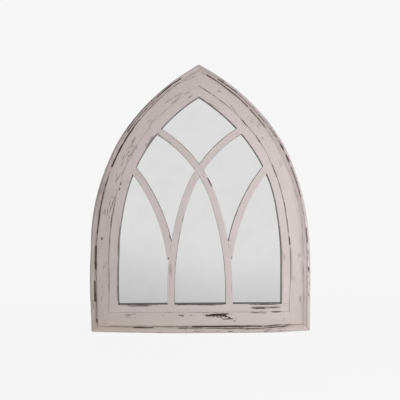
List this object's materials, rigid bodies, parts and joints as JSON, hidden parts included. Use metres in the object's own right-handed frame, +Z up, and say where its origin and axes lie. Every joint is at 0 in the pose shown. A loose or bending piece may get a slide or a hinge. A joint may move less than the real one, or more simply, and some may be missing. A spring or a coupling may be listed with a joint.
{
  "type": "garden mirror",
  "caption": "Pointed gothic arch wall mirror in a distressed painted wood frame, with intersecting tracery bars in front of the glass and swinging D rings on the back to hang it by.",
  "frame": {"origin": "middle of the bottom edge of the back, on the wall plane", "axes": "+X to the right seen from the front, +Y into the wall, +Z up; the mirror faces -Y"},
  "size_m": [0.61, 0.041, 0.7446],
  "materials": {
    "painted_wood": "distressed pale pinkish cream paint rubbed through to dark wood",
    "mirror": "silvered glass",
    "hardboard": "plain hardboard",
    "zinc_steel": "zinc plated",
    "beech": "bare"
  },
  "bodies": {
    "frame": {"backing_board": "hardboard", "backing_screws": "zinc_steel", "bottom_edge_strip": "painted_wood", "bottom_rail": "painted_wood", "edge_strip_pins": "zinc_steel", "hanger_screws": "zinc_steel", "inner_bottom_rail": "painted_wood", "left_arch_rail": "painted_wood", "left_edge_strip_lower": "painted_wood", "left_edge_strip_upper": "painted_wood", "left_hanger_strap": "zinc_steel", "left_inner_arch": "painted_wood", "left_inner_stile": "painted_wood", "left_stile": "painted_wood", "left_tracery_bar": "painted_wood", "left_tracery_branch": "painted_wood", "mirror_glass": "mirror", "rail_dowels": "beech", "right_arch_rail": "painted_wood", "right_edge_strip_lower": "painted_wood", "right_edge_strip_upper": "painted_wood", "right_hanger_strap": "zinc_steel", "right_inner_arch": "painted_wood", "right_inner_stile": "painted_wood", "right_stile": "painted_wood", "right_tracery_bar": "painted_wood", "right_tracery_branch": "painted_wood"},
    "left_ring": {"left_hanger_ring": "zinc_steel"},
    "right_ring": {"right_hanger_ring": "zinc_steel"}
  },
  "joints": [
    {"name": "left_ring_hinge", "type": "hinge", "parent": "frame", "child": "left_ring", "pos_m": [-0.22778, 0.0025, 0.47], "axis": [-1, 0, 0], "range_deg": [0, 175]},
    {"name": "right_ring_hinge", "type": "hinge", "parent": "frame", "child": "right_ring", "pos_m": [0.22778, 0.0025, 0.47], "axis": [-1, 0, 0], "range_deg": [0, 175]}
  ]
}
